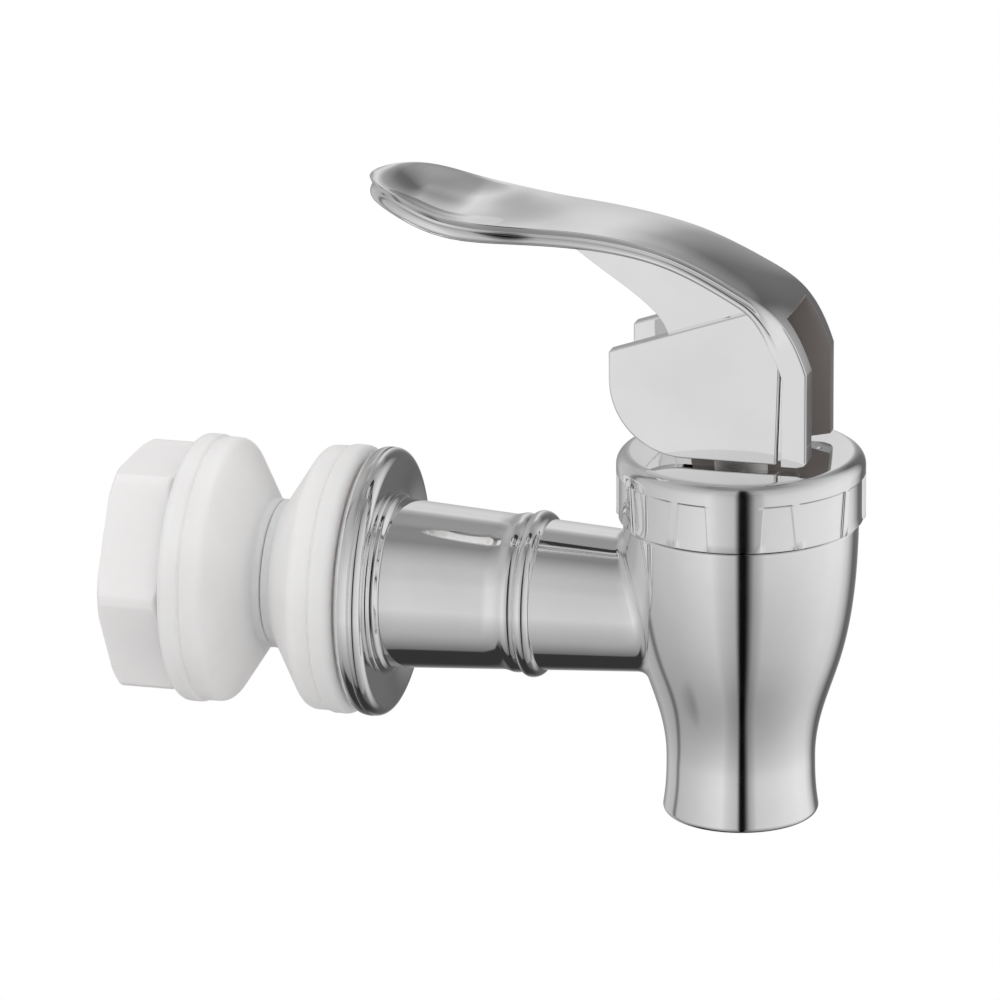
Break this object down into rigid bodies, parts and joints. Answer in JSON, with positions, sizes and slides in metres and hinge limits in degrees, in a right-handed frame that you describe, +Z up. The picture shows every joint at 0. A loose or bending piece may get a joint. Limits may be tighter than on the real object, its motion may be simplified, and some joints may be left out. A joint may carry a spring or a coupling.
{
  "type": "beverage dispenser spigot",
  "caption": "Push-lever drink dispenser tap with a bell spout, flanged shank, cone gaskets and a hexagon lock nut.",
  "frame": {"origin": "on the shank axis, in the middle of the container wall that the gaskets clamp", "axes": "+X out of the container along the shank, +Z up, +Y to the left of someone facing the container"},
  "size_m": [0.0944, 0.0332, 0.0779],
  "materials": {
    "chrome": "mirror-bright plating",
    "white_plastic": "milky, slightly translucent",
    "silicone": "soft satin, translucent",
    "spring_steel": "drawn wire"
  },
  "bodies": {
    "tap_body": {"body": "chrome", "bonnet": "chrome", "outer_gasket": "silicone", "spring": "spring_steel"},
    "valve_seat": {"seat_cup": "silicone"},
    "valve_stem": {"stem": "white_plastic"},
    "push_lever": {"lever": "chrome"},
    "loose_gasket": {"inner_gasket": "silicone"},
    "nut": {"lock_nut": "white_plastic"}
  },
  "joints": [
    {"name": "stem_lift", "type": "slide", "parent": "tap_body", "child": "valve_seat", "axis": [0, 0, 1], "range_m": [0, 0.00289], "deforming": ["spring", "seat_cup"]},
    {"name": "lever_swivel", "type": "hinge", "parent": "valve_seat", "child": "valve_stem", "pos_m": [0.0584, 0, 0.0272], "axis": [0, 0, 1], "continuous": true},
    {"name": "lever_press", "type": "hinge", "parent": "valve_stem", "child": "push_lever", "pos_m": [0.0584, 0, 0.0272], "axis": [0, -1, 0], "range_deg": [0, 22], "stiffness_Nm_per_rad": 0.066, "springref_deg": -30.94},
    {"name": "gasket_slide", "type": "slide", "parent": "tap_body", "child": "loose_gasket", "axis": [-1, 0, 0], "range_m": [0, 0.0098]},
    {"name": "nut_spin", "type": "hinge", "parent": "loose_gasket", "child": "nut", "pos_m": [-0.0151, 0, 0], "axis": [-1, 0, 0], "range_deg": [0, 1764]}
  ],
  "couplings": [
    {"joint": "stem_lift", "follows": "lever_press", "m_per_rad": 0.0074},
    {"joint": "gasket_slide", "follows": "nut_spin", "m_per_rad": 0.00031831}
  ]
}
